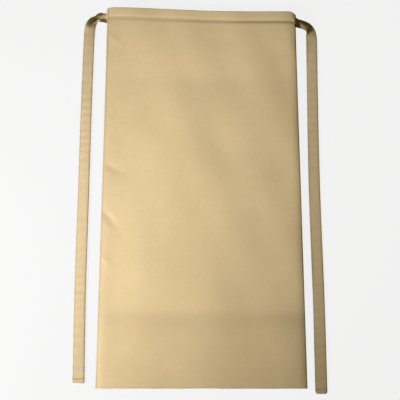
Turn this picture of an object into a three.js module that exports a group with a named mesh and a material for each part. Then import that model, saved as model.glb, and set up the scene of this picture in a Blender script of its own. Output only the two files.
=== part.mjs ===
// A long waist apron of plain cotton twill, laid flat and face up.
// Its sides are pleated back behind the front, and its two ties lie beside it.
// Millimetres: +X to the right, +Y towards the waistband, +Z up from the surface that it lies on.

import * as THREE from 'three';
import { ParametricGeometry } from 'three/addons/geometries/ParametricGeometry.js';

// The apron as cut and sewn
const APRON_LENGTH = 800;
const APRON_WIDTH = 1000;
const BAND_HEIGHT = 25;
const TIE_WIDTH = 23;
const CLOTH = 1;
const GAP = 0.3;

// The apron as folded
const FOLDED_WIDTH = 400;
const DROOP_REACH = 22;
const BAND_END = 175;
const TIE_TUCK = 12;
const CREASE = 139;

// The left end of the band lies higher than the right, and the step runs between these two places
const BAND_SKEW = { left: 6.5, right: -3, from: -195, to: 85 };

// The top corners are pulled down where the sides roll under, within a reach of each side
const CORNER = { left: 3, right: 7.5, reach: 16, downTo: 740 };

// Heights of the middle of the three cloth layers at stations along the apron, and each side's droop.
// The layers lie lowest at the crease and rise under the thicker band.
const LAYERS = [
  { along: 0, outer: 0.5, inner: 2.9, front: 5.4, left: 0.9, right: 1 },
  { along: CREASE - 12, outer: 0.5, inner: 2.9, front: 5.3, left: 0.9, right: 1 },
  { along: CREASE, outer: 0.5, inner: 2.8, front: 5, left: 0.7, right: 1 },
  { along: CREASE + 14, outer: 0.5, inner: 2.9, front: 5.3, left: 0.5, right: 1 },
  { along: CREASE + 70, outer: 0.5, inner: 3.1, front: 5.8, left: 0.4, right: 1 },
  { along: 420, outer: 0.5, inner: 3.1, front: 5.8, left: 0.2, right: 1 },
  { along: 640, outer: 0.5, inner: 3.1, front: 5.8, left: 0, right: 1 },
  { along: 768, outer: 1.8, inner: 6, front: 10.2, left: 0, right: 1.2 },
  { along: APRON_LENGTH, outer: 1.8, inner: 6, front: 10.2, left: 0, right: 1.2 },
];

// Routes of the ties: the middle's place, the height of the low edge, the direction to the outer edge,
// and the cup, which is how far the edges stand over the middle and is below nought for a ridge.
// The left tie turns the corner as a gutter, with its outer edge tipped up.
const LEFT_TIE = [
  { x: -163.5, y: 392.4, lift: 1.8, outX: 0, outY: 1, rise: 0, cup: 0 },
  { x: -177, y: 391.8, lift: 1.8, outX: 0, outY: 1, rise: 0, cup: 0 },
  { x: -190, y: 389.4, lift: 1, outX: 0, outY: 1, rise: 0, cup: 0 },
  { x: -200.5, y: 385.6, lift: 0.5, outX: 0, outY: 0.99, rise: 0, cup: 0.6 },
  { x: -206, y: 385.2, lift: 0.5, outX: 0, outY: 0.99, rise: -0.04, cup: 2.2 },
  { x: -212, y: 385.8, lift: 0.5, outX: 0, outY: 0.98, rise: 0.04, cup: 4 },
  { x: -218, y: 386, lift: 0.5, outX: -0.06, outY: 0.93, rise: 0.26, cup: 6.6 },
  { x: -224, y: 385, lift: 0.5, outX: -0.3, outY: 0.7, rise: 0.56, cup: 8.4 },
  { x: -229.4, y: 381.2, lift: 0.5, outX: -0.58, outY: 0.4, rise: 0.66, cup: 7.4 },
  { x: -233.2, y: 375.4, lift: 0.5, outX: -0.78, outY: 0.14, rise: 0.6, cup: 4.4 },
  { x: -235.6, y: 368.6, lift: 0.5, outX: -0.92, outY: 0.03, rise: 0.4, cup: 1.8 },
  { x: -236.9, y: 361.4, lift: 0.5, outX: -0.98, outY: 0, rise: 0.2, cup: 0.4 },
  { x: -237.8, y: 352.5, lift: 0.5, outX: -0.99, outY: 0, rise: 0.08, cup: 0 },
  { x: -238.3, y: 335, lift: 0.5, outX: -1, outY: 0, rise: 0.03, cup: 0 },
  { x: -238.8, y: 200, lift: 0.5, outX: -1, outY: 0, rise: 0, cup: 0 },
  { x: -238, y: 0, lift: 0.5, outX: -1, outY: 0, rise: 0, cup: 0 },
  { x: -236.8, y: -230, lift: 0.5, outX: -1, outY: 0, rise: 0, cup: 0 },
  { x: -233.4, y: -390, lift: 0.5, outX: -1, outY: 0, rise: 0, cup: 0 },
];
// The right tie tips its inner edge up, with a low ridge along its middle
const RIGHT_TIE = [
  { x: 163.5, y: 383, lift: 1.8, outX: 0, outY: 1, rise: 0, cup: 0 },
  { x: 177, y: 382.6, lift: 1.8, outX: 0, outY: 1, rise: 0, cup: 0 },
  { x: 190, y: 379.4, lift: 0.9, outX: 0.1, outY: 1, rise: 0, cup: 0 },
  { x: 198.6, y: 376.6, lift: 0.6, outX: 0.13, outY: 0.99, rise: 0, cup: -1.6 },
  { x: 205.3, y: 373.4, lift: 0.5, outX: 0.16, outY: 0.98, rise: -0.12, cup: -3 },
  { x: 212.6, y: 370.8, lift: 0.5, outX: 0.24, outY: 0.96, rise: -0.18, cup: -2.5 },
  { x: 220.4, y: 367.4, lift: 0.5, outX: 0.29, outY: 0.93, rise: -0.2, cup: -1.5 },
  { x: 227.2, y: 362.2, lift: 0.5, outX: 0.42, outY: 0.84, rise: -0.2, cup: -0.5 },
  { x: 231, y: 355.6, lift: 0.5, outX: 0.68, outY: 0.66, rise: -0.16, cup: 0 },
  { x: 233, y: 347.4, lift: 0.5, outX: 0.92, outY: 0.36, rise: -0.08, cup: 0 },
  { x: 233.9, y: 337, lift: 0.5, outX: 1, outY: 0.1, rise: -0.04, cup: 0 },
  { x: 233.8, y: 322, lift: 0.5, outX: 1, outY: 0, rise: 0, cup: 0 },
  { x: 231, y: 200, lift: 0.5, outX: 1, outY: 0, rise: 0, cup: 0 },
  { x: 228, y: 0, lift: 0.5, outX: 1, outY: 0, rise: 0, cup: 0 },
  { x: 228.2, y: -230, lift: 0.5, outX: 1, outY: 0, rise: 0, cup: 0 },
  { x: 226.6, y: -410, lift: 0.5, outX: 1, outY: 0, rise: 0, cup: 0 },
];

// Grid lines: slices across each stretch of the folded section and across a tie, the longest step along
// the apron, and the steps of the band's leaf, of its fold and of each row of a tie's route
const SLICES = { run: 2, pleat: 6, droop: 5, roll: 8, front: 8, tie: 4 };
const LONGEST_STEP = 90;
const LEAF_STEPS = 2;
const BAND_FOLD_STEPS = 6;
const STEPS_PER_TIE_ROW = 4;

// Sizes that follow from those above
const LEAF_OFFSET = CLOTH + GAP;
const BAND_FOLD_AT = APRON_LENGTH - LEAF_OFFSET - CLOTH / 2;
const PANEL_TOP = BAND_FOLD_AT;
const BAND_SEAM_AT = APRON_LENGTH - BAND_HEIGHT;
const PANEL_HEM = BAND_END - TIE_TUCK - GAP;

const { clamp, lerp, smoothstep } = THREE.MathUtils;

// A table's values at any place along it, straight from row to row
function layersAt(along) {
  const last = LAYERS.length - 1;
  const next = LAYERS.findIndex((row) => row.along >= along);
  const high = LAYERS[next === -1 ? last : Math.max(next, 1)];
  const low = LAYERS[LAYERS.indexOf(high) - 1];
  const share = (along - low.along) / (high.along - low.along);
  return Object.fromEntries(
    Object.keys(low).map((column) => [column, lerp(low[column], high[column], share)]),
  );
}

// Where the hidden pleat lies, so that the folded section takes up the whole width of the cloth
function pleatPlace() {
  const { outer, inner, front } = layersAt(APRON_LENGTH / 2);
  const pleat = (inner - outer) / 2;
  const roll = (front - inner) / 2;
  const sideRoll = FOLDED_WIDTH / 2 - roll;
  const bends = Math.PI * (pleat + roll);
  return (PANEL_HEM + 2 * sideRoll + bends - APRON_WIDTH / 2) / 2;
}

const PLEAT_AT = pleatPlace();

// Half of the folded section, from the hidden hem to the middle of the front, as lines and arcs.
// The cloth runs inwards on the surface, turns up at the pleat, runs back out and rolls over to the front.
function halfSection(along, hem) {
  const { outer, inner, front } = layersAt(along);
  const pleat = (inner - outer) / 2;
  const roll = (front - inner) / 2;
  const side = -FOLDED_WIDTH / 2 + roll;
  const droopStart = -FOLDED_WIDTH / 2 + DROOP_REACH;
  const up = Math.PI / 2;
  const down = -Math.PI / 2;
  const line = (x0, x1, z) => new THREE.LineCurve(new THREE.Vector2(x0, z), new THREE.Vector2(x1, z));
  const bend = (x, z, radius, clockwise) => (
    new THREE.EllipseCurve(x, z, radius, radius, down, up, clockwise)
  );
  return [
    line(-hem, -PLEAT_AT, outer),
    bend(-PLEAT_AT, outer + pleat, pleat, false),
    line(-PLEAT_AT, droopStart, inner),
    line(droopStart, side, inner),
    bend(side, inner + roll, roll, true),
    line(side, droopStart, front),
    line(droopStart, 0, front),
  ];
}

const HALF_SLICES = [
  SLICES.run, SLICES.pleat, SLICES.run, SLICES.droop, SLICES.roll, SLICES.droop, SLICES.front / 2,
];
const HALF_TOTAL = HALF_SLICES.reduce((sum, count) => sum + count, 0);
const CLOTH_SLICES = 2 * HALF_TOTAL;

// A point of the half section, at a place counted in slices from the hem
function halfSectionPoint(slice, along, hem) {
  const curves = halfSection(along, hem);
  let start = 0;
  let stretch = 0;
  while (stretch < HALF_SLICES.length - 1 && slice > start + HALF_SLICES[stretch]) {
    start += HALF_SLICES[stretch];
    stretch += 1;
  }
  return curves[stretch].getPoint((slice - start) / HALF_SLICES[stretch]);
}

// How far a place on the cloth lies above its level line: the band's skew, and its corners pulled down
function lieAskew(x, along) {
  const step = smoothstep(x, BAND_SKEW.from, BAND_SKEW.to);
  const skew = lerp(BAND_SKEW.left, BAND_SKEW.right, step) * along / APRON_LENGTH;
  const past = Math.max(0, Math.abs(x) - FOLDED_WIDTH / 2 + CORNER.reach) / CORNER.reach;
  const depth = x < 0 ? CORNER.left : CORNER.right;
  return skew - depth * past ** 3 * smoothstep(along, CORNER.downTo, APRON_LENGTH);
}

// A point on the middle of the cloth wall, with u from hem to hem and along from the bottom edge up
function clothPoint(u, along, hem, target) {
  const slice = u * CLOTH_SLICES;
  const mirrored = slice > HALF_TOTAL;
  const point = halfSectionPoint(mirrored ? CLOTH_SLICES - slice : slice, along, hem);
  const x = mirrored ? -point.x : point.x;
  const past = Math.max(0, Math.abs(x) - FOLDED_WIDTH / 2 + DROOP_REACH) / DROOP_REACH;
  const { left, right } = layersAt(along);
  const z = point.y - (x < 0 ? left : right) * past ** 3;
  return target.set(x, along - APRON_LENGTH / 2 + lieAskew(x, along), z);
}

// The direction that the cloth's right side faces at a place
function clothNormal(u, along, hem) {
  const step = 1e-4;
  const low = clothPoint(Math.max(u - step, 0), along, hem, new THREE.Vector3());
  const high = clothPoint(Math.min(u + step, 1), along, hem, new THREE.Vector3());
  const below = clothPoint(u, along - step, hem, new THREE.Vector3());
  const above = clothPoint(u, along, hem, new THREE.Vector3());
  return high.sub(low).cross(above.sub(below)).normalize();
}

// The place along a list of stations, straight from one to the next, for a share of its steps
function stationAt(stations, share) {
  const place = share * (stations.length - 1);
  const low = Math.min(Math.floor(place), stations.length - 2);
  return lerp(stations[low], stations[low + 1], place - low);
}

// A closed wall of even thickness, built on both sides of a sheet and round its four edges
function thicken(sheet, wall) {
  const { slices, stacks } = sheet.parameters;
  const position = sheet.attributes.position;
  const normal = sheet.attributes.normal;
  const point = new THREE.Vector3();
  const away = new THREE.Vector3();
  const corners = [];
  for (const side of [wall / 2, -wall / 2]) {
    for (let i = 0; i < position.count; i += 1) {
      away.fromBufferAttribute(normal, i);
      point.fromBufferAttribute(position, i).addScaledVector(away, side);
      corners.push(point.x, point.y, point.z);
    }
  }

  const back = position.count;
  const faces = Array.from(sheet.index.array);
  for (let i = 0; i < sheet.index.count; i += 3) {
    const [a, b, c] = [0, 1, 2].map((k) => back + sheet.index.getX(i + k));
    faces.push(a, c, b);
  }

  const width = slices + 1;
  const rim = [];
  for (let j = 0; j < slices; j += 1) {
    rim.push(j);
  }
  for (let i = 0; i < stacks; i += 1) {
    rim.push(i * width + slices);
  }
  for (let j = slices; j > 0; j -= 1) {
    rim.push(stacks * width + j);
  }
  for (let i = stacks; i > 0; i -= 1) {
    rim.push(i * width);
  }
  rim.forEach((a, place) => {
    const b = rim[(place + 1) % rim.length];
    faces.push(b, a, back + a, b, back + a, back + b);
  });

  const solid = new THREE.BufferGeometry();
  solid.setAttribute('position', new THREE.Float32BufferAttribute(corners, 3));
  solid.setIndex(faces);
  solid.computeVertexNormals();
  return solid;
}

// Stations along the panel: every row of the layers' table below its top edge, with even steps between
function panelStations() {
  const rows = LAYERS.map((row) => Math.min(row.along, PANEL_TOP));
  const stations = [rows[0]];
  for (let i = 1; i < rows.length; i += 1) {
    const steps = Math.ceil((rows[i] - rows[i - 1]) / LONGEST_STEP);
    for (let k = 1; k <= steps; k += 1) {
      stations.push(lerp(rows[i - 1], rows[i], k / steps));
    }
  }
  return stations;
}

// The panel: one width of cloth, folded in a flat Z at each side
function panelGeometry() {
  const stations = panelStations();
  const surface = (u, v, target) => clothPoint(u, stationAt(stations, v), PANEL_HEM, target);
  return thicken(new ParametricGeometry(surface, CLOTH_SLICES, stations.length - 1), CLOTH);
}

// The waistband: a strip folded over the panel's top edge, with a leaf on each side of the cloth
function waistbandGeometry() {
  const stations = [];
  for (let i = 0; i < LEAF_STEPS; i += 1) {
    stations.push({ along: lerp(BAND_SEAM_AT, BAND_FOLD_AT, i / LEAF_STEPS), offset: LEAF_OFFSET });
  }
  for (let i = 0; i <= BAND_FOLD_STEPS; i += 1) {
    const turn = Math.PI * i / BAND_FOLD_STEPS;
    stations.push({
      along: BAND_FOLD_AT + LEAF_OFFSET * Math.sin(turn),
      offset: LEAF_OFFSET * Math.cos(turn),
    });
  }
  for (let i = 1; i <= LEAF_STEPS; i += 1) {
    stations.push({ along: lerp(BAND_FOLD_AT, BAND_SEAM_AT, i / LEAF_STEPS), offset: -LEAF_OFFSET });
  }

  const alongs = stations.map((station) => station.along);
  const offsets = stations.map((station) => station.offset);
  const surface = (u, v, target) => {
    const along = stationAt(alongs, v);
    const away = clothNormal(u, along, BAND_END);
    return clothPoint(u, along, BAND_END, target).addScaledVector(away, stationAt(offsets, v));
  };
  return thicken(new ParametricGeometry(surface, CLOTH_SLICES, stations.length - 1), CLOTH);
}

// A value of a tie's route at a share of its rows, easing from one row to the next
function easedRow(rows, share, column) {
  const place = share * (rows.length - 1);
  const low = Math.min(Math.floor(place), rows.length - 2);
  return lerp(rows[low][column], rows[low + 1][column], smoothstep(place - low, 0, 1));
}

// How wide half a tie lies when its edges stand a cup over its middle
function halfTie(cup) {
  return Math.sqrt((TIE_WIDTH / 2) ** 2 - cup ** 2);
}

// A tie: a flat tape that leaves the band's end, turns the corner and lies down beside the panel.
// Its middle rises softly to keep both edges over the lift. The outer edge is on the left of the
// tape's heading where outerSide is 1, and on its right where it is -1.
function tieGeometry(rows, outerSide) {
  const route = new THREE.CatmullRomCurve3(rows.map(({ x, y }) => new THREE.Vector3(x, y, 0)));
  const outwards = new THREE.CatmullRomCurve3(
    rows.map(({ outX, outY, rise }) => new THREE.Vector3(outX, outY, rise)),
  );
  const outerAt = (v) => outwards.getPoint(v).normalize();
  const middleAt = (v) => {
    const { z } = outerAt(v);
    const cup = easedRow(rows, v, 'cup');
    const tip = halfTie(cup) * Math.abs(z);
    const clear = tip - cup * Math.sqrt(1 - z * z);
    const middle = route.getPoint(v);
    middle.z = easedRow(rows, v, 'lift') + (clear + Math.hypot(clear, tip / 2)) / 2;
    return middle;
  };
  const surface = (u, v, target) => {
    const step = 1e-3;
    const rib = outerAt(v).multiplyScalar(outerSide);
    const heading = middleAt(clamp(v + step, 0, 1)).sub(middleAt(clamp(v - step, 0, 1)));
    const face = heading.cross(rib).normalize();
    const cup = easedRow(rows, v, 'cup');
    const across = 2 * u - 1;
    target.copy(middleAt(v)).addScaledVector(rib, across * halfTie(cup));
    return target.addScaledVector(face, cup * Math.abs(across));
  };
  const steps = STEPS_PER_TIE_ROW * (rows.length - 1);
  return thicken(new ParametricGeometry(surface, SLICES.tie, steps), CLOTH);
}

// Each piece is a mesh of its own, with its shade of the khaki twill
function piece(name, geometry, colour) {
  const material = new THREE.MeshStandardMaterial({ color: colour, roughness: 0.9, metalness: 0 });
  const mesh = new THREE.Mesh(geometry, material);
  mesh.name = name;
  return mesh;
}

const apron = new THREE.Group();
apron.name = 'waist_apron';
apron.add(piece('apron_panel', panelGeometry(), '#ceb68d'));
apron.add(piece('waistband', waistbandGeometry(), '#d7bf95'));
apron.add(piece('tie_left', tieGeometry(LEFT_TIE, -1), '#bda882'));
apron.add(piece('tie_right', tieGeometry(RIGHT_TIE, 1), '#bda882'));

export default apron;
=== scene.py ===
# %% [markdown]
# # A long waist apron, laid flat
# The apron is one width of khaki twill with a waistband and two ties. It lies face up on a pale
# floor, with its sides folded back behind the front and the ties laid straight beside it.
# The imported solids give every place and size. This lesson keeps them as a fixed frame and makes
# each cloth piece again as a fine surface worked out with numpy, then gives it its weave.

# %% Load the frame
import math

import bpy
import numpy as np
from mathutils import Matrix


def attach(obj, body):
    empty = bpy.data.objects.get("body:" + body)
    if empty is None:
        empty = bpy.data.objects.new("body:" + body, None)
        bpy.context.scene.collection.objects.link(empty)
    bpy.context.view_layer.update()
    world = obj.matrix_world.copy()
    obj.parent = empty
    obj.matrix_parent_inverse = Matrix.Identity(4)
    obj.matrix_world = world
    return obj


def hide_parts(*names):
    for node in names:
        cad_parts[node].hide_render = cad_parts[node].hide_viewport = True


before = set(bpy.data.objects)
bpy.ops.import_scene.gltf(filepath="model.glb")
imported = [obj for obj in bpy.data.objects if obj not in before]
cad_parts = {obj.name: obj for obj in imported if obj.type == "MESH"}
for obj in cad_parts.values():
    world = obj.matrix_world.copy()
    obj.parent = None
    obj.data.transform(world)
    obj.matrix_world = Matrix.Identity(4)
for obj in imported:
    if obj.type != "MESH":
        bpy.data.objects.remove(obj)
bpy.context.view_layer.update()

print("solids to dress:", sorted(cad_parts))

# %% [markdown]
# ## The camera
# The apron is seen from high above and a little from beyond its bottom edge, so its sides seem to
# close in towards the waistband. A camera could be placed by its coordinates in the room, but a
# point to look at, an angle over the horizon and a distance can each be judged. A long lens keeps
# the closing-in small.

# %% Place the camera
VIEW_AIM = (-0.0028, -0.0235, 0.0)
VIEW_ELEVATION = math.radians(71.59)
VIEW_DISTANCE = 2.026
LENS_MM = 90.67
SENSOR_MM = 36.0


def put_object(name, data):
    """An object that holds the data, put into the scene at the origin."""
    made = bpy.data.objects.new(name, data)
    bpy.context.scene.collection.objects.link(made)
    return made


camera = put_object("camera", bpy.data.cameras.new("camera"))
camera.data.lens = LENS_MM
camera.data.sensor_width = SENSOR_MM
camera.location = (
    VIEW_AIM[0],
    VIEW_AIM[1] - VIEW_DISTANCE * math.cos(VIEW_ELEVATION),
    VIEW_AIM[2] + VIEW_DISTANCE * math.sin(VIEW_ELEVATION),
)
camera.rotation_euler = (math.pi / 2 - VIEW_ELEVATION, 0, 0)
bpy.context.scene.camera = camera
print("camera at", [round(value, 3) for value in camera.location])

# %% [markdown]
# ## From arrays to a mesh
# Every piece below is an array of points. A sewing pattern is measured in millimetres and Blender
# in metres, so the arrays hold millimetres and this one helper turns them into metres. It also
# keeps, for each point, where it lay on the flat cloth before folding: that is the UV map which
# the weave follows, so that the pattern runs on round every fold.

# %% Put a mesh into the scene
MM = 0.001
FLAT_MAP = "flat_cloth"


def put_mesh(name, points, faces, flat):
    """A smooth mesh object at the origin, from points in millimetres and their flat places."""
    mesh = bpy.data.meshes.new(name)
    mesh.from_pydata((points * MM).tolist(), [], faces)
    mesh.shade_smooth()
    corner_points = np.empty(len(mesh.loops), np.int32)
    mesh.loops.foreach_get("vertex_index", corner_points)
    flat_map = mesh.uv_layers.new(name=FLAT_MAP)
    flat_map.uv.foreach_set("vector", (flat[corner_points] * MM).ravel())
    print(name, "has", len(mesh.vertices), "points and", len(mesh.polygons), "faces")
    return put_object(name, mesh)


print("a millimetre is", MM, "m, and flat places go into the UV map", FLAT_MAP)

# %% [markdown]
# ## The folded cloth
# The apron is cut a metre wide but lies 400 mm wide. Each side goes back under the front, turns at
# a hidden pleat and runs out again, in a flat Z. One could lay a plane and fold it with a lattice
# or a cloth simulation, but a pressed fold is a plain section: straight runs joined by half
# circles. So the section is a formula, and the apron is that section carried along its length,
# with the heights of its three layers read from a short table. They lie lowest along a crease near
# the bottom and rise towards the thicker band, and the last two columns say how far each side
# droops.

# %% Sizes of the folded cloth
APRON_LENGTH = 800.0
APRON_WIDTH = 1000.0
FOLDED_WIDTH = 400.0
CLOTH = 0.9
CREASE = 139.0
HEM_AT = 162.7
DROOP_REACH = 22.0
EASE_REACH = 7.0
EASE_SAMPLES = 9


def table(columns, *rows):
    """A small table as a dict of arrays, one for each named column."""
    return dict(zip(columns.split(), np.array(rows, float).T))


LAYERS = table(
    "along outer inner front left right",
    (0, 0.5, 2.9, 5.4, 0.9, 1.0),
    (CREASE - 12, 0.5, 2.9, 5.3, 0.9, 1.0),
    (CREASE, 0.5, 2.8, 5.0, 0.7, 1.0),
    (CREASE + 14, 0.5, 2.9, 5.3, 0.5, 1.0),
    (CREASE + 70, 0.5, 3.1, 5.8, 0.4, 1.0),
    (420, 0.5, 3.1, 5.8, 0.2, 1.0),
    (640, 0.5, 3.1, 5.8, 0.0, 1.0),
    (768, 1.8, 6.0, 10.2, 0.0, 1.2),
    (APRON_LENGTH, 1.8, 6.0, 10.2, 0.0, 1.2),
)


def layer_heights(along):
    """Each column of the layers' table at places along the apron, in the order of the columns.

    A value is read on straight lines between the rows, and the mean over a short reach to both
    sides rounds the corners off.
    """
    nearby = np.linspace(-EASE_REACH, EASE_REACH, EASE_SAMPLES)
    places = np.asarray(along, float)[..., None] + nearby
    return [
        np.interp(places, LAYERS["along"], LAYERS[column]).mean(axis=-1)
        for column in ("outer", "inner", "front", "left", "right")
    ]


def pleat_place():
    """Where the hidden pleats lie, so that the section takes up the whole width of the cloth.

    Half the cloth is a front run, a side bend, a run in to the pleat, the pleat's bend and a run
    out to the hem, and only the two hidden runs depend on the pleat's place.
    """
    outer, inner, front, _, _ = layer_heights(APRON_LENGTH / 2)
    side = FOLDED_WIDTH / 2 - (front - inner) / 2
    bends = math.pi * (front - outer) / 2
    return float(HEM_AT + 2 * side + bends - APRON_WIDTH / 2) / 2


PLEAT_AT = pleat_place()
print("the hidden pleats lie", round(PLEAT_AT, 1), "mm from the middle")

# %% [markdown]
# ## How the cloth lies
# Nobody lays cloth perfectly flat. The band lies a little askew, higher at its left end, the top
# corners are pulled round where the sides roll under, and the front has faint waves and a few
# short wrinkles, most of them near its left side. They could be sculpted or left to a cloth
# simulation, but small sums added to the folded section are easy to judge one by one: a wrinkle is
# a long bell-shaped ridge or groove, and the waves are a few sines with drawn directions.

# %% Skew, corners, waves and wrinkles
BAND_SKEW = {"left": 6.5, "right": -3.0, "from": -195.0, "to": 85.0}
CORNER = {"left": 3.0, "right": 7.5, "reach": 16.0, "down_to": 740.0}
WAVES = {"count": 14, "shortest": 70.0, "longest": 210.0, "height": 0.16, "seed": 11}
RELIEF_FADE = (1.0, 1.7)
WRINKLES = table(
    "x y angle length width height",
    (-183, -64, -50, 24, 6.0, -0.6),
    (-176, 41, -26, 20, 6.0, -0.55),
    (-183, 96, -24, 16, 5.0, 0.25),
    (-190, -150, -40, 14, 4.0, 0.5),
    (-182, 330, -38, 18, 6.0, 0.5),
    (178, 320, 40, 20, 6.0, 0.5),
    (120, -330, 12, 40, 9.0, 0.3),
    (-60, -352, -8, 46, 10.0, 0.3),
)


def smoothstep(value, low, high):
    """0 below low, 1 above high, and three squares less two cubes of the share between them."""
    share = np.clip((value - low) / (high - low), 0, 1)
    return share * share * (3 - 2 * share)


def lie_askew(x, along):
    """How far the cloth lies above its level line: the band's skew, and its corners pulled down.

    The skew goes from left to right on an S-curve and grows evenly with the distance from the
    bottom edge. A corner is pulled by a depth times the cube of its share of the reach.
    """
    step = smoothstep(x, BAND_SKEW["from"], BAND_SKEW["to"])
    skew = BAND_SKEW["left"] + (BAND_SKEW["right"] - BAND_SKEW["left"]) * step
    depth = np.where(x < 0, CORNER["left"], CORNER["right"])
    past = np.clip(np.abs(x) - FOLDED_WIDTH / 2 + CORNER["reach"], 0, None) / CORNER["reach"]
    pulled = depth * past**3 * smoothstep(along, CORNER["down_to"], APRON_LENGTH)
    return skew * along / APRON_LENGTH - pulled


def front_relief(x, y):
    """Height of the waves and wrinkles over the front.

    A wave is a sine of the distance along its own direction. A wrinkle is a height, below nought
    for a groove, times a bell of the distance along its line and a bell of the distance across.
    """
    draw = np.random.default_rng(WAVES["seed"])
    turn = draw.uniform(0, math.pi, WAVES["count"])
    length = draw.uniform(WAVES["shortest"], WAVES["longest"], WAVES["count"])
    start = draw.uniform(0, 2 * math.pi, WAVES["count"])
    x = x[..., None]
    y = y[..., None]
    travel = x * np.cos(turn) + y * np.sin(turn)
    waves = np.sin(2 * math.pi * travel / length + start).sum(axis=-1) * WAVES["height"] / 2
    ridge = np.radians(WRINKLES["angle"])
    along = (x - WRINKLES["x"]) * np.cos(ridge) + (y - WRINKLES["y"]) * np.sin(ridge)
    across = (y - WRINKLES["y"]) * np.cos(ridge) - (x - WRINKLES["x"]) * np.sin(ridge)
    bells = np.exp(-((along / WRINKLES["length"]) ** 2) - (across / WRINKLES["width"]) ** 2)
    return waves + (bells * WRINKLES["height"]).sum(axis=-1)


print("the front has", WAVES["count"], "waves and", len(WRINKLES["x"]), "wrinkles")

# %% Fold the cloth
STRETCHES = 5


def folded_cloth(across, along, hem):
    """Points on the middle of the cloth wall.

    across counts stretches outwards from the middle of the front, and its sign is the side: up to
    1 is the front, up to 2 the half circle of the side roll, up to 3 the run in to the pleat, up
    to 4 the pleat's half circle, and up to 5 the run out to the hem. along is the distance from
    the bottom edge. Near the sides the heights droop with the cube of the distance, and the
    front's relief fades out round the side rolls.
    """
    outer, inner, front, left, right = layer_heights(along)
    roll = (front - inner) / 2
    pleat = (inner - outer) / 2
    side = FOLDED_WIDTH / 2 - roll
    stretch = np.abs(across)
    share = stretch - np.clip(np.ceil(stretch) - 1, 0, None)
    turn = math.pi * share
    stretches = [stretch <= 1, stretch <= 2, stretch <= 3, stretch <= 4, stretch > 4]
    x = np.select(stretches, [
        side * share,
        side + roll * np.sin(turn),
        side + (PLEAT_AT - side) * share,
        PLEAT_AT - pleat * np.sin(turn),
        PLEAT_AT + (hem - PLEAT_AT) * share,
    ])
    z = np.select(stretches, [
        front,
        inner + roll * (1 + np.cos(turn)),
        inner,
        outer + pleat * (1 + np.cos(turn)),
        outer,
    ])
    past = np.clip(x - FOLDED_WIDTH / 2 + DROOP_REACH, 0, None) / DROOP_REACH
    x = np.copysign(x, across)
    y = along - APRON_LENGTH / 2 + lie_askew(x, along)
    on_front = 1 - smoothstep(stretch, *RELIEF_FADE)
    z = z - np.where(x < 0, left, right) * past**3 + on_front * front_relief(x, y)
    return np.stack([x, y, z], axis=-1)


def unit(vectors):
    """Vectors of length one."""
    return vectors / np.linalg.norm(vectors, axis=-1, keepdims=True)


def cloth_directions(across, along, hem):
    """Directions across and up the cloth and out of its right side, from small steps both ways."""
    nudge = 0.002
    step = 0.5
    sideways = unit(
        folded_cloth(np.minimum(across + nudge, STRETCHES), along, hem)
        - folded_cloth(np.maximum(across - nudge, -STRETCHES), along, hem)
    )
    upwards = unit(
        folded_cloth(across, along + step, hem) - folded_cloth(across, along - step, hem)
    )
    return sideways, upwards, unit(np.cross(sideways, upwards))


middle_of_front = folded_cloth(np.zeros(1), np.full(1, APRON_LENGTH / 2), HEM_AT)[0]
print("the middle of the front lies", round(float(middle_of_front[2]), 1), "mm high")

# %% [markdown]
# ## The panel
# The panel is the apron's one large piece. Its points stand in a grid: columns across the folds,
# closer together where the cloth bends, and rows up the length, closer at the crease and under the
# band. A Solidify modifier could give it thickness, but a wall made here can round its own edges:
# a third line of points runs round the rim, pushed out by half the cloth.

# %% A closed wall on a grid
def quads_between(number):
    """Quads between neighbouring points of a grid that holds each point's number."""
    corners = [number[:-1, :-1], number[:-1, 1:], number[1:, 1:], number[1:, :-1]]
    return np.stack(corners, axis=-1).reshape(-1, 4)


def closed_wall(name, middle, outwards, flat, wall):
    """A cloth wall: a front and a back half a wall from the middle, joined round a rounded rim.

    The rim's points stand half a wall beyond the middle's border, straight away from the next
    point inside it.
    """
    rows, columns = middle.shape[:2]
    number = np.arange(rows * columns).reshape(rows, columns)
    border = [
        (number[0, :-1], number[1, :-1]),
        (number[:-1, -1], number[:-1, -2]),
        (number[-1, :0:-1], number[-2, :0:-1]),
        (number[:0:-1, 0], number[:0:-1, 1]),
    ]
    edge = np.concatenate([pair[0] for pair in border])
    inside = np.concatenate([pair[1] for pair in border])
    middle, outwards, flat = middle.reshape(-1, 3), outwards.reshape(-1, 3), flat.reshape(-1, 2)
    rim = middle[edge] + unit(middle[edge] - middle[inside]) * wall / 2
    points = np.concatenate([middle + outwards * wall / 2, middle - outwards * wall / 2, rim])

    back = rows * columns
    lip = 2 * back + np.arange(len(edge))
    following = np.roll(edge, -1)
    faces = np.concatenate([
        quads_between(number),
        quads_between(back + number)[:, ::-1],
        np.stack([following, edge, lip, np.roll(lip, -1)], axis=-1),
        np.stack([np.roll(lip, -1), lip, back + edge, back + following], axis=-1),
    ])
    return put_mesh(name, points, faces.tolist(), np.concatenate([flat, flat, flat[edge]]))


print("a grid of 3 by 4 points has", len(quads_between(np.arange(12).reshape(3, 4))), "faces")

# %% The panel's grid
PANEL_TOP = 798.2
BOTTOM_EDGE = 12.0
CREASE_REACH = 20.0
UNDER_BAND = 755.0


def runs(*rows):
    """Rising places without repeats, from rows of a start, an end and a number of even places."""
    return np.unique(np.concatenate([np.linspace(*row) for row in rows]))


HALF_COLUMNS = runs(
    (0, 0.88, 45),
    (0.89, 1, 14),
    (1, 2, 15),
    (2, 2.14, 6),
    (2.14, 3, 8),
    (3, 4, 11),
    (4, STRETCHES, 9),
)
COLUMNS = np.concatenate([-HALF_COLUMNS[:0:-1], HALF_COLUMNS])
ROWS = runs(
    (0, BOTTOM_EDGE, 7),
    (BOTTOM_EDGE, PANEL_TOP, 150),
    (CREASE - CREASE_REACH, CREASE + CREASE_REACH, 17),
    (UNDER_BAND, PANEL_TOP, 12),
)


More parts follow.
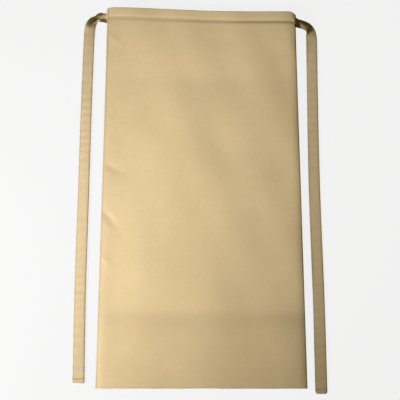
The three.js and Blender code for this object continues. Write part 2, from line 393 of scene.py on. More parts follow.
def distance_along(points):
    """Distance of each point from the first, summed along the line through them."""
    steps = np.linalg.norm(np.diff(points, axis=0), axis=-1)
    return np.concatenate([[0], np.cumsum(steps)])


def flat_across(columns, hem):
    """Distance of each column from the middle of the front, measured along the cloth."""
    section = folded_cloth(columns, np.full(len(columns), APRON_LENGTH / 2), hem)
    travelled = distance_along(section)
    return travelled - travelled[len(columns) // 2]


across, along = np.meshgrid(COLUMNS, ROWS)
_, _, outwards = cloth_directions(across, along, HEM_AT)
flat_x, flat_y = np.meshgrid(flat_across(COLUMNS, HEM_AT), ROWS)
panel = closed_wall(
    "apron_cloth",
    folded_cloth(across, along, HEM_AT),
    outwards,
    np.stack([flat_x, flat_y], axis=-1),
    CLOTH,
)
print("the cloth is", round(float(np.ptp(flat_x))), "mm wide when it is laid out flat")

# %% [markdown]
# ## The waistband
# The band is a strip folded over the panel's top edge, so it has a leaf in front, a tight fold on
# top and a leaf behind. It goes round the same pleats as the cloth inside it. A Shrinkwrap modifier
# could lay a strip onto the panel, but it would lose its way between the folded layers. So the
# band's points are the cloth's own, moved out along the cloth's right side in front, round a half
# circle at the top and along the wrong side behind. A row of stitches presses the leaf onto the
# panel just above its lower edge, and the thread gathers it a little between the stitches.

# %% The band's strip
BAND_END = 175.0
BAND_SEAM = 775.0
BAND_FOLD = PANEL_TOP
LEAF_OFFSET = 1.3
BAND_STITCH = BAND_SEAM + 3.0
STITCH_PRESS = {"depth": 0.36, "reach": 2.6}
GATHER = {"length": 6.5, "wander": 11.0, "height": 0.1, "reach": 5.0}
LEAF_ROWS = 15
FOLD_ROWS = 11


def band_offset(along, flat_x):
    """Distance of a leaf's middle from the middle of the panel.

    The leaf is pressed down from its edge to the stitches, and half a bell lets it rise again
    above them. There it is gathered in a sine along the strip, whose phase wanders, under a bell.
    """
    pressed = np.exp(-((np.clip(along - BAND_STITCH, 0, None) / STITCH_PRESS["reach"]) ** 2))
    near = np.exp(-(((along - BAND_STITCH) / GATHER["reach"]) ** 2))
    wander = np.sin(flat_x / GATHER["wander"])
    wave = np.sin(2 * math.pi * flat_x / GATHER["length"] + wander)
    return LEAF_OFFSET - STITCH_PRESS["depth"] * pressed + GATHER["height"] * wave * near


leaf = BAND_SEAM + (BAND_FOLD - BAND_SEAM) * np.linspace(0, 1, LEAF_ROWS)[:-1]
fold = np.linspace(0, math.pi, FOLD_ROWS)
band_along = np.concatenate([leaf, BAND_FOLD + LEAF_OFFSET * np.sin(fold), leaf[::-1]])
band_turn = np.concatenate([np.zeros(len(leaf)), fold, np.full(len(leaf), math.pi)])

across, along = np.meshgrid(COLUMNS, band_along)
_, turn = np.meshgrid(COLUMNS, band_turn)
sideways, upwards, outwards = cloth_directions(across, along, BAND_END)
band_flat_x, band_flat_y = np.meshgrid(
    flat_across(COLUMNS, BAND_END),
    np.concatenate([leaf, BAND_FOLD + LEAF_OFFSET * fold, 2 * BAND_FOLD - leaf[::-1]]),
)
lift = band_offset(along, band_flat_x) * np.cos(turn)
waistband = closed_wall(
    "waistband_cloth",
    folded_cloth(across, along, BAND_END) + outwards * lift[..., None],
    outwards * np.cos(turn)[..., None] + upwards * np.sin(turn)[..., None],
    np.stack([band_flat_x, band_flat_y], axis=-1),
    CLOTH,
)
print("the band's strip is", round(float(np.ptp(band_flat_x))), "mm long")

# %% [markdown]
# ## The ties
# Each tie is a flat tape of doubled twill, sewn along both edges. It comes out of the band's end,
# turns the corner and lies down beside the panel. To turn, the left one folds into a gutter and
# tips its outer edge up, and the right one tips its inner edge up a little, with a low ridge along
# its middle. Curves with a bevel would twist a tape by themselves, so its route is a short table
# instead: where its middle is, how high its lowest line lies, which way its outer edge points and
# how far it is cupped. A round-edged section is carried along that route.

# %% The ties' routes
TIE_WIDTH = 23.0
TIE_WALL = 1.3
SOLID_WALL = 1.0
TIE_COLUMNS = "x y lift out_x out_y rise cup"
LEFT_TIE = table(
    TIE_COLUMNS,
    (-163.5, 392.4, 1.8, 0, 1, 0, 0),
    (-177.0, 391.8, 1.8, 0, 1, 0, 0),
    (-190.0, 389.4, 1.0, 0, 1, 0, 0),
    (-200.5, 385.6, 0.5, 0, 0.99, 0.0, 0.6),
    (-206.0, 385.2, 0.5, 0, 0.99, -0.04, 2.2),
    (-212.0, 385.8, 0.5, 0, 0.98, 0.04, 4.0),
    (-218.0, 386.0, 0.5, -0.06, 0.93, 0.26, 6.6),
    (-224.0, 385.0, 0.5, -0.3, 0.7, 0.56, 8.4),
    (-229.4, 381.2, 0.5, -0.58, 0.4, 0.66, 7.4),
    (-233.2, 375.4, 0.5, -0.78, 0.14, 0.6, 4.4),
    (-235.6, 368.6, 0.5, -0.92, 0.03, 0.4, 1.8),
    (-236.9, 361.4, 0.5, -0.98, 0, 0.2, 0.4),
    (-237.8, 352.5, 0.5, -0.99, 0, 0.08, 0),
    (-238.3, 335.0, 0.5, -1, 0, 0.03, 0),
    (-238.8, 200.0, 0.5, -1, 0, 0, 0),
    (-238.0, 0.0, 0.5, -1, 0, 0, 0),
    (-236.8, -230.0, 0.5, -1, 0, 0, 0),
    (-233.4, -390.0, 0.5, -1, 0, 0, 0),
)
RIGHT_TIE = table(
    TIE_COLUMNS,
    (163.5, 383.0, 1.8, 0, 1, 0, 0),
    (177.0, 382.6, 1.8, 0, 1, 0, 0),
    (190.0, 379.4, 0.9, 0.1, 1, 0, 0),
    (198.6, 376.6, 0.6, 0.13, 0.99, 0, -1.6),
    (205.3, 373.4, 0.5, 0.16, 0.98, -0.12, -3),
    (212.6, 370.8, 0.5, 0.24, 0.96, -0.18, -2.5),
    (220.4, 367.4, 0.5, 0.29, 0.93, -0.2, -1.5),
    (227.2, 362.2, 0.5, 0.42, 0.84, -0.2, -0.5),
    (231.0, 355.6, 0.5, 0.68, 0.66, -0.16, 0),
    (233.0, 347.4, 0.5, 0.92, 0.36, -0.08, 0),
    (233.9, 337.0, 0.5, 1, 0.1, -0.04, 0),
    (233.8, 322.0, 0.5, 1, 0, 0, 0),
    (231.0, 200.0, 0.5, 1, 0, 0, 0),
    (228.0, 0.0, 0.5, 1, 0, 0, 0),
    (228.2, -230.0, 0.5, 1, 0, 0, 0),
    (226.6, -410.0, 0.5, 1, 0, 0, 0),
)
print("the routes have", len(LEFT_TIE["x"]), "and", len(RIGHT_TIE["x"]), "rows")

# %% Read a route
ROUTE_SAMPLES = 6001
TAPE_STEP = 1.8


def curve_through(points, place):
    """A Catmull-Rom curve through points, read at places counted in points.

    The points' spacing is the root of their distance. A point's slope is the slope before it plus
    the slope after it less the slope over both, and cubic pieces join the points.
    """
    steps = np.diff(points, axis=0)
    gaps = np.sqrt(np.linalg.norm(steps, axis=-1, keepdims=True))
    slopes = steps / gaps
    over_both = (points[2:] - points[:-2]) / (gaps[1:] + gaps[:-1])
    tangents = np.concatenate([slopes[:1], slopes[1:] + slopes[:-1] - over_both, slopes[-1:]])
    low = np.clip(np.floor(place).astype(int), 0, len(points) - 2)
    share = (place - low)[:, None]
    rise = share * share * (3 - 2 * share)
    leaving = share * (1 - share) ** 2 * gaps[low] * tangents[low]
    arriving = share * share * (share - 1) * gaps[low] * tangents[low + 1]
    return points[low] * (1 - rise) + points[low + 1] * rise + leaving + arriving


def fold_width(cup):
    """How wide a cupped tape lies: the root of one less the squared cup in half widths."""
    return np.sqrt(1 - (cup / (TIE_WIDTH / 2)) ** 2)


def tie_middle(route, place):
    """A tie's middle line, the direction to its outer edge, and its cup, at places along it.

    All columns run on one curve. The cup is how far the edges stand over the middle, so below
    nought the tape is a ridge. The low edge would sink under the middle by the tip of the tilted
    half width, less what the cup lifts it. The middle rises over the lift by half the sum of that
    and the root of its square plus the squared half tip, which softly keeps both edges up, and by
    a little more because the tape is thicker than the solid's wall.
    """
    rows = np.stack([route[column] for column in TIE_COLUMNS.split()], axis=-1)
    read = curve_through(rows, place)
    outer = unit(read[:, 3:6])
    lift, cup = read[:, 2:3], read[:, 6:7]
    tip = TIE_WIDTH / 2 * fold_width(cup) * np.abs(outer[:, 2:])
    level = np.sqrt(1 - outer[:, 2:] ** 2)
    sink = tip - cup * level
    height = lift + (sink + np.hypot(sink, tip / 2)) / 2 + (TIE_WALL - SOLID_WALL) / 2
    return np.concatenate([read[:, :2], height], axis=-1), outer, cup


def tie_frame(route, place, outer_side):
    """Middle, rib, face and cup of a tie at places along its route.

    The rib points across the tape, to the left of its heading, and the face out of its upper
    side. outer_side is 1 where the outer edge is on the left of the tape's heading.
    """
    step = 0.01
    middle, outer, cup = tie_middle(route, place)
    ahead = tie_middle(route, np.minimum(place + step, len(route["x"]) - 1))[0]
    behind = tie_middle(route, np.maximum(place - step, 0))[0]
    rib = outer * outer_side
    return middle, rib, unit(np.cross(ahead - behind, rib)), cup


def tie_places(route, distances=None):
    """Places along a route at given distances from its root, or evenly spaced to its end.

    Places are read back from the distance along the middle line, summed over many short steps.
    """
    fine = np.linspace(0, len(route["x"]) - 1, ROUTE_SAMPLES)
    travelled = distance_along(tie_middle(route, fine)[0])
    if distances is None:
        distances = np.linspace(0, travelled[-1], round(travelled[-1] / TAPE_STEP))
    return np.interp(distances, travelled, fine), distances


for side, route in (("left", LEFT_TIE), ("right", RIGHT_TIE)):
    print("the", side, "tie is", round(tie_places(route)[1][-1]), "mm long")

# %% [markdown]
# ## The tape's section
# A sewn tape isn't a bar. Its edges are folds and so are round, the stitches pull a shallow groove
# along each edge, and the cloth between them is all but flat, with faint puckers across it. The
# free end is turned under and sewn, so it is thicker. A bump in the finish could show that, but it
# wouldn't show at the edges, so all of it is added to the height of the section's upper side, as a
# function of the place across and along the tape.

# %% The tape's section and relief
EDGE_STITCH = 9.3
SECTION_RUN = 17
SECTION_BEND = 7
TAPE = {"groove": 0.12, "groove_reach": 0.9, "swell": 0.03}
PUCKER = {
    "height": 0.17,
    "length": 19.0,
    "wander": 0.5,
    "wander_length": 53.0,
    "slant": 0.012,
    "steady": 0.4,
    "crowned": 0.6,
}
RELIEF_FROM = 14.0
ROOT = 30.0
END_HEM = {"length": 8.0, "extra": 0.5, "step": 1.0, "stitch_in": 2.0}


def tape_section():
    """Place across the tape, and height over its middle in half walls, round its section.

    The upper side runs from one edge to the other, a half circle turns round that edge, and the
    under side and the other half circle close the section.
    """
    radius = TIE_WALL / 2
    reach = TIE_WIDTH / 2 - radius
    run = np.linspace(-reach, reach, SECTION_RUN)
    bend = np.linspace(math.pi / 2, -math.pi / 2, SECTION_BEND)[1:-1]
    edge = reach + radius * np.cos(bend)
    top = np.ones(SECTION_RUN)
    across = np.concatenate([run, edge, run[::-1], -edge])
    height = np.concatenate([top, np.sin(bend), -top, -np.sin(bend)])
    return across, height


def tape_relief(across, distance, length):
    """Extra height of the tape's upper side over its flat section.

    Swell is a parabola over the width, grooves are bells on the two lines of stitches, and
    puckers are slanting waves whose length wanders, a little lower towards the edges. They start
    beyond the band, and the turned end adds its own thickness.
    """
    half = TIE_WIDTH / 2
    swell = TAPE["swell"] * (1 - (across / half) ** 2)
    from_stitch = (np.abs(across) - EDGE_STITCH) / TAPE["groove_reach"]
    groove = -TAPE["groove"] * np.exp(-(from_stitch**2))
    wander = PUCKER["wander"] * np.sin(distance / PUCKER["wander_length"])
    phase = distance / PUCKER["length"] + wander + PUCKER["slant"] * across
    crown = PUCKER["steady"] + PUCKER["crowned"] * np.cos(across / half)
    pucker = PUCKER["height"] * np.sin(2 * math.pi * phase) * crown
    hem_from = length - END_HEM["length"]
    hem = END_HEM["extra"] * smoothstep(distance, hem_from - END_HEM["step"], hem_from)
    return (swell + groove + pucker) * smoothstep(distance, RELIEF_FROM, ROOT) + hem


print("a tie's section has", len(tape_section()[0]), "points")

# %% Carry the section along its route
FOLD_ROUND = 2.5
TIE_END_CORNER = {"tie_left": 1.8, "tie_right": 4.6}
CORNER_ROWS = 8
CORNER_GAP = 0.5
CORNER_TIP = 0.01


def tie_surface(route, distance, across, height, outer_side):
    """Points of a tie, from distances along it and places across it and heights over its middle.

    A cupped tape's section is a V with a round bottom: the root of the squared place across plus
    the squared round, less the round.
    """
    place, _ = tie_places(route, distance)
    middle, rib, face, cup = tie_frame(route, place, outer_side)
    reach = np.hypot(TIE_WIDTH / 2, FOLD_ROUND) - FOLD_ROUND
    height = height + cup * (np.hypot(across, FOLD_ROUND) - FOLD_ROUND) / reach
    across = across * fold_width(cup)
    return middle[:, None] + rib[:, None] * across[..., None] + face[:, None] * height[..., None]


def closed_rings(rows, columns):
    """Point numbers of a tube, ring by ring, with each ring's first point again at its end."""
    number = np.arange(rows * columns).reshape(rows, columns)
    return np.concatenate([number, number[:, :1]], axis=1)


def tie_cloth(name, node, route, outer_side):
    """A tie's closed tape: its section at even steps, with both ends shut.

    The free end is drawn in on quarter circles, which round its two corners.
    """
    _, distance = tie_places(route)
    length = distance[-1]
    corner = TIE_END_CORNER[node]
    end = length - corner + corner * np.sin(np.linspace(0, math.pi / 2, CORNER_ROWS))
    distance = np.concatenate([distance[distance < length - corner - CORNER_GAP], end])
    past = np.clip(distance - length + corner, 0, corner - CORNER_TIP)
    inset = corner - np.sqrt(corner**2 - past**2)
    section, level = tape_section()
    across = section * (1 - inset / (TIE_WIDTH / 2))[:, None]
    relief = tape_relief(across, distance[:, None], length)
    height = level * TIE_WALL / 2 + np.clip(level, 0, 1) * relief
    points = tie_surface(route, distance, across, height, outer_side)

    ring = closed_rings(*points.shape[:2])
    ends = [ring[0, -2::-1].tolist(), ring[-1, :-1].tolist()]
    faces = quads_between(ring).tolist() + ends
    flat = np.stack([across, np.broadcast_to(distance[:, None], across.shape)], axis=-1)
    return put_mesh(name, points.reshape(-1, 3), faces, flat.reshape(-1, 2))


tie_left = tie_cloth("tie_left_cloth", "tie_left", LEFT_TIE, -1)
tie_right = tie_cloth("tie_right_cloth", "tie_right", RIGHT_TIE, 1)

# %% [markdown]
# ## Stitches
# The band and the ties are sewn with a khaki thread, about three stitches to the centimetre. Each
# stitch is a short plump thread whose ends dive into the cloth. A particle system could scatter
# them, but here one small stitch is copied onto every place of a row by one array product, and a
# whole row of work becomes one joined mesh.

# %% One stitch, and a row of them
STITCH = {"pitch": 3.2, "length": 2.5, "reach": 0.97, "radius": 0.24, "rise": 0.1, "dive": 0.3}
STITCH_RINGS = 5
STITCH_SIDES = 6


def one_stitch():
    """Points, quads and end faces of one stitch lying along X with Z up, in millimetres.

    The radius shrinks towards both ends as the root of one less the fourth power of the place,
    and the middle line falls with the square of the place. The rings stop just short of 1, where
    the radius would be nought.
    """
    place = np.linspace(-STITCH["reach"], STITCH["reach"], STITCH_RINGS)[:, None]
    angle = 2 * math.pi * np.arange(STITCH_SIDES)[None, :] / STITCH_SIDES
    radius = STITCH["radius"] * np.sqrt(1 - place**4)
    x = np.broadcast_to(place * STITCH["length"] / 2, (STITCH_RINGS, STITCH_SIDES))
    z = radius * np.sin(angle) + STITCH["rise"] - STITCH["dive"] * place**2
    points = np.stack([x, radius * np.cos(angle), z], axis=-1)
    ring = closed_rings(STITCH_RINGS, STITCH_SIDES)
    quads = quads_between(ring)[:, [0, 3, 2, 1]]
    around = np.broadcast_to(angle * STITCH["radius"], x.shape)
    flat = np.stack([x, around], axis=-1)
    return points.reshape(-1, 3), quads, ring[[0, -1], :-1], flat.reshape(-1, 2)


def sew(name, places, forwards, upwards):
    """One mesh of stitches, with one stitch at each place, lying forwards with its back upwards."""
    points, quads, ends, flat = one_stitch()
    sideways = unit(np.cross(upwards, forwards))
    axes = np.stack([forwards, sideways, np.cross(forwards, sideways)], axis=1)
    copies = places[:, None] + points[None] @ axes
    first = len(points) * np.arange(len(places))[:, None, None]
    ends = np.stack([ends[0], ends[1][::-1]])
    faces = (quads + first).reshape(-1, 4).tolist()
    faces += (ends + first).reshape(-1, STITCH_SIDES).tolist()
    return put_mesh(name, copies.reshape(-1, 3), faces, np.tile(flat, (len(places), 1)))


print("one stitch has", len(one_stitch()[0]), "points")


# %% Sew the band
def band_stitches():
    """Two rows through the band: one on its front leaf and one on its back leaf.

    Stitches stand evenly along the cloth, so their places across the folds are read back from
    the columns' distances.
    """
    reach = flat_across(COLUMNS, BAND_END)
    flat_x = np.arange(reach[0] + STITCH["pitch"], reach[-1], STITCH["pitch"])
    across = np.interp(flat_x, reach, COLUMNS)
    along = np.full(len(across), BAND_STITCH)
    sideways, _, outwards = cloth_directions(across, along, BAND_END)
    lift = (band_offset(along, flat_x) + CLOTH / 2)[:, None]
    middle = folded_cloth(across, along, BAND_END)
    places = np.concatenate([middle + outwards * lift, middle - outwards * lift])
    return places, np.tile(sideways, (2, 1)), np.concatenate([outwards, -outwards])


band_thread = sew("waistband_stitches", *band_stitches())


# %% Sew the ties
def tie_stitches(route, outer_side):
    """Rows along both edges of a tie, on its upper and under side, and one across its end hem.

    A stitch lies at right angles to the tape's rib and face, or along the rib in the end's row,
    and its back points out of the side that it is on.
    """
    length = tie_places(route)[1][-1]
    hem = length - END_HEM["length"] + END_HEM["stitch_in"]
    distance = np.arange(ROOT / 2, hem, STITCH["pitch"])
    end_across = np.arange(-EDGE_STITCH, EDGE_STITCH, STITCH["pitch"]) + STITCH["pitch"] / 2
    rows = [(edge, side) for edge in (-EDGE_STITCH, EDGE_STITCH) for side in (1, -1)]
    count = len(distance)
    along = np.concatenate([np.tile(distance, len(rows)), np.full(len(end_across), hem)])
    across = np.concatenate([np.repeat([row[0] for row in rows], count), end_across])
    side = np.concatenate([np.repeat([row[1] for row in rows], count), np.ones(len(end_across))])
    relief = tape_relief(across, along, length)
    height = np.where(side > 0, TIE_WALL / 2 + relief, -TIE_WALL / 2)
    places = tie_surface(route, along, across[:, None], height[:, None], outer_side)[:, 0]
    _, rib, face, _ = tie_frame(route, tie_places(route, along)[0], outer_side)
    forwards = unit(np.cross(rib, face))
    forwards[len(rows) * count:] = rib[len(rows) * count:]
    return places, forwards, face * side[:, None]


left_thread = sew("tie_left_stitches", *tie_stitches(LEFT_TIE, -1))
right_thread = sew("tie_right_stitches", *tie_stitches(RIGHT_TIE, 1))

# %% [markdown]
# ## Writing shaders as sums
# A finish is a graph of nodes. Placed by hand in the editor they are easy to see, but in a script
# each one takes several lines. This small class wraps a socket so that arithmetic adds the Math
# nodes, and one method makes any other node: its settings first, then its sockets.

# %% A socket that can be added and multiplied
COLOUR_MIX = {"factor": 0, "low": 6, "high": 7, "result": 2}


class Shade:
    """One socket in a material's nodes. Sums and products of shades add the Math nodes for them."""

    def __init__(self, tree, socket=None):
        self.tree = tree
        self.socket = socket

    def node(self, kind, settings, values, output=0):
        """Adds a node of a kind, with its settings first and then its sockets' values or links."""
        made = self.tree.nodes.new(kind)
        for name, value in settings.items():
            setattr(made, name, value)
        for name, value in values.items():
            if isinstance(value, Shade):
                self.tree.links.new(value.socket, made.inputs[name])
            else:
                made.inputs[name].default_value = value
        return Shade(self.tree, made.outputs[output] if made.outputs else None)

    def math(self, operation, *values):
        """A Math node on this shade, or on the values given."""
        sockets = dict(enumerate(values or [self]))
        return self.node("ShaderNodeMath", {"operation": operation}, sockets)

    def mix(self, low, high):
        """A colour between two colours, by this value from 0 to 1."""
        sockets = {COLOUR_MIX["factor"]: self, COLOUR_MIX["low"]: low, COLOUR_MIX["high"]: high}
        return self.node("ShaderNodeMix", {"data_type": "RGBA"}, sockets, COLOUR_MIX["result"])

    def output(self, name):
        """Another output of the node that this shade comes from."""
        return Shade(self.tree, self.socket.node.outputs[name])

    def __add__(self, other):
        return self.math("ADD", self, other)

    def __sub__(self, other):
        return self.math("SUBTRACT", self, other)

    def __rsub__(self, other):
        return self.math("SUBTRACT", other, self)

    def __mul__(self, other):
        return self.math("MULTIPLY", self, other)

    def __truediv__(self, other):
        return self.math("DIVIDE", self, other)

    def __rtruediv__(self, other):
        return self.math("DIVIDE", other, self)

    __radd__ = __add__
    __rmul__ = __mul__


def new_finish(name):
    """A material with no nodes yet, and a shade to start its nodes from."""
    material = bpy.data.materials.new(name)
    material.use_nodes = True
    material.node_tree.nodes.clear()
    return material, Shade(material.node_tree)


def flat_place(start):
    """The place on the flat cloth in metres, as one vector and as its two distances."""
    flat = start.node("ShaderNodeUVMap", {"uv_map": FLAT_MAP}, {})
    x = start.node("ShaderNodeSeparateXYZ", {}, {0: flat})
    return flat, x, x.output("Y")


print("finishes are written as sums of", Shade.__name__, "sockets")

# %% [markdown]
# ## The twill
# Twill is woven so that each thread steps sideways, and fine slanting ribs run over the cloth. Dyed
# cotton takes colour unevenly: it is a little mottled, and single thick threads show as faint
# streaks both ways. The ribs and threads are waves on the flat-cloth map, in metres, so they are
# the size of real ones. They go into a bump for the weave and a few hundredths of the colour. A
# light sheen stands for the fuzz of the fibres. Shade is painted into the colour too, as a mix
# towards a dark shadow colour: along the band's seam, the stitches, the crease, the bottom edge and
# the rolled edges, and over a wide band along the left side. That could be painted by hand, but
# painted shade on the same map stays exact: each is a bell across a line, and the crease's bell is
# cut by a step.

# %% Shapes of painted shade across a line
DIP_TAIL = 2.2


def bell(value, centre, reach):
    """1 where a value is at its centre, falling off in a bell over a reach to both sides."""
    away = (value - centre) / reach
    return (0 - away * away).math("EXPONENT")


def below(value, centre, reach):
    """1 where a value is under its centre and 0 over it, with an S-curve a reach to both sides."""
    ends = {"From Min": centre + reach, "From Max": centre - reach}
    return value.node(
        "ShaderNodeMapRange", {"interpolation_type": "SMOOTHSTEP"}, {"Value": value, **ends}
    )


def dip(value, centre, reach):
    """A crease's painted shade: it sets in like below, times a bell of over twice the reach."""
    return below(value, centre, reach) * bell(value, centre, DIP_TAIL * reach)


print("a crease's mark falls off over", DIP_TAIL, "times its reach")

# %% Weave the twill
RIB_PITCH = 1.15 * MM
RIB_SLOPE = 0.55
THREAD_PITCH = 0.42 * MM
WEAVE_DEPTH = 0.05 * MM
WEAVE = {"rib": 0.5, "thread": 0.2, "patches": 0.6, "strength": 0.8}
CLOUDS = {"scale": 34, "detail": 4}
PATCHES = {"scale": 150, "detail": 3}
STREAKS = {"scale": 900, "detail": 2}
STREAK_DRAW = 0.035
NOISE_ROUGHNESS = 0.55
TONE = {"clouds": 0.55, "patches": 0.5, "streaks": 0.3, "rib": 0.06, "less": 0.35}
TWILL_ROUGHNESS = {"least": 0.82, "patches": 0.12}
TWILL_SPECULAR = 0.25
SHEEN = {"Sheen Weight": 0.18, "Sheen Roughness": 0.6, "Sheen Tint": (0.95, 0.88, 0.74, 1)}


def noise(flat, scale, detail, stretch=(1, 1, 1)):
    """Cloudy noise from 0 to 1 on the flat cloth, stretched along one direction for streaks."""
    place = flat.node("ShaderNodeMapping", {}, {"Vector": flat, "Scale": stretch})
    return place.node(
        "ShaderNodeTexNoise",
        {"noise_dimensions": "2D"},
        {"Vector": place, "Scale": scale, "Detail": detail, "Roughness": NOISE_ROUGHNESS},
    )


def twill_finish(name, pale, deep, shadow, painted_shades):
    """Twill on the flat-cloth map.

    The colour goes from deep to pale with the mottling, the streaks and the ribs' tops, then
    towards the shadow colour where shade is painted. Each row of painted shade gives a shape, an
    axis, a place, a reach, a strength and how much stronger the painted shade gets for each metre
    to the right. The bump is a slanting rib wave plus the waves of single threads across it and the
    small patches of the mottling.
    """
    material, start = new_finish(name)
    flat, x, y = flat_place(start)
    rib = ((x + y * RIB_SLOPE) * (2 * math.pi / RIB_PITCH)).math("SINE")
    thread = ((y - x * RIB_SLOPE) * (2 * math.pi / THREAD_PITCH)).math("SINE")
    clouds = noise(flat, **CLOUDS)
    patches = noise(flat, **PATCHES)
    tone = clouds * TONE["clouds"] + patches * TONE["patches"]
    for stretch in ((1, STREAK_DRAW, 1), (STREAK_DRAW, 1, 1)):
        tone = tone + noise(flat, **STREAKS, stretch=stretch) * TONE["streaks"]
    tone = tone + rib * TONE["rib"] - TONE["less"]
    colour = tone.node("ShaderNodeClamp", {}, {"Value": tone}).mix(deep, pale)
    # paint shade into the colour: mix it towards the shadow colour along each row's line
    for shape, axis, place, reach, strength, gain in painted_shades:
        painted_shade = shape({"x": x, "y": y}[axis], place * MM, reach * MM) * (strength + x * gain)
        colour = painted_shade.mix(colour, shadow)
    weave = rib * WEAVE["rib"] + thread * WEAVE["thread"] + patches * WEAVE["patches"]
    bump = {"Strength": WEAVE["strength"], "Distance": WEAVE_DEPTH, "Height": weave}
    surface = start.node("ShaderNodeBsdfPrincipled", {}, {
        "Base Color": colour,
        "Roughness": TWILL_ROUGHNESS["least"] + patches * TWILL_ROUGHNESS["patches"],
        "Specular IOR Level": TWILL_SPECULAR,
        "Normal": start.node("ShaderNodeBump", {}, bump),
        **SHEEN,
    })
    start.node("ShaderNodeOutputMaterial", {}, {"Surface": surface})
    print(name, "has", len(material.node_tree.nodes), "nodes")
    return material


print("the twill's ribs stand", round(RIB_PITCH / MM, 2), "mm apart")

# %% Dye the three twills and paint their shade
# dark colours that the painted shade mixes towards
CLOTH_SHADOW = (0.17, 0.12, 0.055, 1)
TAPE_SHADOW = (0.15, 0.12, 0.055, 1)
# painted shade on the left side roll, darkening the rim that the low light from the left brightens
LEFT_ROLL_PAINTED_SHADE = (bell, "x", -FOLDED_WIDTH / 2 - 0.5, 2.6, 0.95, 0)
# painted shade on the panel, each row mixing the colour towards the shadow colour
PANEL_PAINTED_SHADE = [
    # painted shade in the groove just under the band's seam, stronger towards the right
    (bell, "y", BAND_SEAM - 1.4, 2.4, 0.55, 1.2),
    # painted shade along the bottom edge
    (bell, "y", 0.0, 1.6, 0.4, 0),
    LEFT_ROLL_PAINTED_SHADE,
    # painted shade over a wide band along the left side, darker towards the left edge
    (bell, "x", -FOLDED_WIDTH / 2, 45, 0.12, 0),
    # painted shade on the lower side of the crease, stronger towards the right
    (dip, "y", CREASE + 4, 16, 0.12, 0.25),
]
BAND_PAINTED_SHADE = [
    # painted shade on the band's lower rim at the seam, stronger towards the right
    (bell, "y", BAND_SEAM, 1.6, 0.8, 0.6),
    # fainter painted shade along the band's row of stitches
    (bell, "y", BAND_STITCH, 0.7, 0.25, 0),
    LEFT_ROLL_PAINTED_SHADE,
]
# painted shade on the ties: faint lines along both rows of stitches and dark lines on both rolled
# edges
TIE_PAINTED_SHADE = [
    (bell, "x", side * place, reach, strength, 0)
    for place, reach, strength in ((EDGE_STITCH, 0.8, 0.3), (TIE_WIDTH / 2, 1.0, 0.75))
    for side in (1, -1)
]
panel_twill = twill_finish(
    "panel_twill",
    pale=(0.66, 0.505, 0.292, 1),
    deep=(0.58, 0.435, 0.238, 1),
    shadow=CLOTH_SHADOW,
    painted_shades=PANEL_PAINTED_SHADE,
)
band_twill = twill_finish(
    "band_twill",
    pale=(0.725, 0.555, 0.33, 1),
    deep=(0.637, 0.48, 0.264, 1),
    shadow=CLOTH_SHADOW,
    painted_shades=BAND_PAINTED_SHADE,
)
tie_twill = twill_finish(
    "tie_twill",
    pale=(0.54, 0.415, 0.24, 1),
    deep=(0.476, 0.36, 0.2, 1),
    shadow=TAPE_SHADOW,
    painted_shades=TIE_PAINTED_SHADE,
)

# %% [markdown]
# ## The thread
# Sewing thread is two or three plies twisted together, so it shows slanting bands of light and
# dark. Each ply could be a mesh of its own, but on hundreds of stitches a finish does as well. The
# stitch's own map gives the place along and around the thread, and a wave on their sum makes the
# twist, in colour and in bump.

# %% Twist the thread
PLY_PITCH = 0.8 * MM
PLY_BUMP = {"Strength": 0.7, "Distance": 0.05 * MM}
THREAD_DEEP = (0.42, 0.31, 0.16, 1)
THREAD_PALE = (0.56, 0.43, 0.25, 1)
THREAD_ROUGHNESS = {"least": 0.55, "ply": 0.1}
khaki_thread, start = new_finish("khaki_thread")
_, x, y = flat_place(start)
ply = ((x + y) * (2 * math.pi / PLY_PITCH)).math("SINE") * 0.5 + 0.5
surface = start.node("ShaderNodeBsdfPrincipled", {}, {
    "Base Color": ply.mix(THREAD_DEEP, THREAD_PALE),
    "Roughness": THREAD_ROUGHNESS["least"] + ply * THREAD_ROUGHNESS["ply"],
    "Normal": start.node("ShaderNodeBump", {}, {**PLY_BUMP, "Height": ply}),
    **SHEEN,
})
start.node("ShaderNodeOutputMaterial", {}, {"Surface": surface})
print("the thread's twist repeats every", PLY_PITCH / MM, "mm")

# %% [markdown]
# ## Dress the solids
# Each cloth piece stands for one imported solid and takes its material slot. Nothing here moves by
# itself, so every piece rides on the one body.

# %% Ride and replace
WORK = [
    (panel, panel_twill, "apron_panel", "panel_twill"),
    (waistband, band_twill, "waistband", "band_twill"),
    (tie_left, tie_twill, "tie_left", "tie_twill"),
    (tie_right, tie_twill, "tie_right", "tie_twill"),
]
for piece, finish, node, slot in WORK:
    piece.data.materials.append(finish)
    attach(piece, "root")
    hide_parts(node)
for thread in (band_thread, left_thread, right_thread):
    thread.data.materials.append(khaki_thread)
    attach(thread, "root")

TIES = [(tie_left, LEFT_TIE, left_thread), (tie_right, RIGHT_TIE, right_thread)]
for tie, route, thread in TIES:
    length = float(tie_places(route)[1][-1])
print("declared", len(WORK), "sheets of cloth")

# %% [markdown]
# ## The studio
# The apron lies on a pale sweep of paper. One wide softbox stands low on the left, below the bottom
# edge, and its light rakes over the cloth: the left is bright, the right and the top fall off, and
# low folds show. A weak warm light comes from all round. A floor lit by lamps of its own would
# throw light back under the cloth, so this one only looks bright to the camera, which also keeps
# the shadows on it soft.

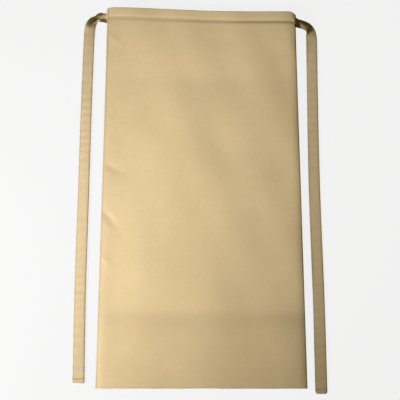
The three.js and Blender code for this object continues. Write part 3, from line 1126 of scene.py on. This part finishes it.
# %% Lay the floor
FLOOR_HALF = 12.0
FLOOR_DROP = 0.0004
PALE = (1.0, 1.0, 1.0, 1)
PAPER_GREY = (0.3, 0.3, 0.3, 1)
PAPER_GLOW = 1.02
GLOW_SHARE = 0.84
FLOOR_SIDES = [(-1, -1), (1, -1), (1, 1), (-1, 1)]
floor_mesh = bpy.data.meshes.new("floor")
corners = [(x * FLOOR_HALF, y * FLOOR_HALF, -FLOOR_DROP) for x, y in FLOOR_SIDES]
floor_mesh.from_pydata(corners, [], [(0, 1, 2, 3)])
floor = put_object("floor", floor_mesh)

pale_paper, start = new_finish("pale_paper")
paper = start.node("ShaderNodeBsdfDiffuse", {}, {"Color": PAPER_GREY})
glow = start.node("ShaderNodeEmission", {}, {"Color": PALE, "Strength": PAPER_GLOW})
seen = start.node("ShaderNodeLightPath", {}, {}).output("Is Camera Ray")
surface = start.node("ShaderNodeMixShader", {}, {0: seen * GLOW_SHARE, 1: paper, 2: glow})
start.node("ShaderNodeOutputMaterial", {}, {"Surface": surface})
floor_mesh.materials.append(pale_paper)
print("a floor of", 2 * FLOOR_HALF, "m")

# %% Set up the softbox
SOFTBOX_PLACE = (-1.838, -0.876, 0.503)
SOFTBOX_WIDTH = 0.95
SOFTBOX_HEIGHT = 0.34
SOFTBOX_TURN = math.radians(29.3)
SOFTBOX_TILT = math.radians(19.5)
SOFTBOX_SPREAD = math.radians(40.7)
SOFTBOX_WATTS = 14.0
SOFTBOX_COLOUR = (1.0, 0.985, 1.0)
light = bpy.data.lights.new("softbox", "AREA")
light.shape = "RECTANGLE"
light.size = SOFTBOX_HEIGHT
light.size_y = SOFTBOX_WIDTH
light.spread = SOFTBOX_SPREAD
light.energy = SOFTBOX_WATTS
light.color = SOFTBOX_COLOUR
softbox = put_object("softbox", light)
softbox.location = SOFTBOX_PLACE
softbox.rotation_euler = (0, SOFTBOX_TILT - math.pi / 2, SOFTBOX_TURN)
softbox.visible_camera = False
print("softbox of", light.energy, "W on the left")

# %% Fill the room with warm light
ROOM_LIGHT = (0.085, 0.085, 0.018, 1)
world = bpy.data.worlds.new("room")
world.use_nodes = True
world.node_tree.nodes.clear()
start = Shade(world.node_tree)
seen = start.node("ShaderNodeLightPath", {}, {}).output("Is Camera Ray")
room = start.node("ShaderNodeBackground", {}, {"Color": seen.mix(ROOM_LIGHT, PALE)})
start.node("ShaderNodeOutputWorld", {}, {"Surface": room})
bpy.context.scene.world = world
bpy.context.scene.view_settings.view_transform = "Standard"
print("the room's light is", ROOM_LIGHT[:3])
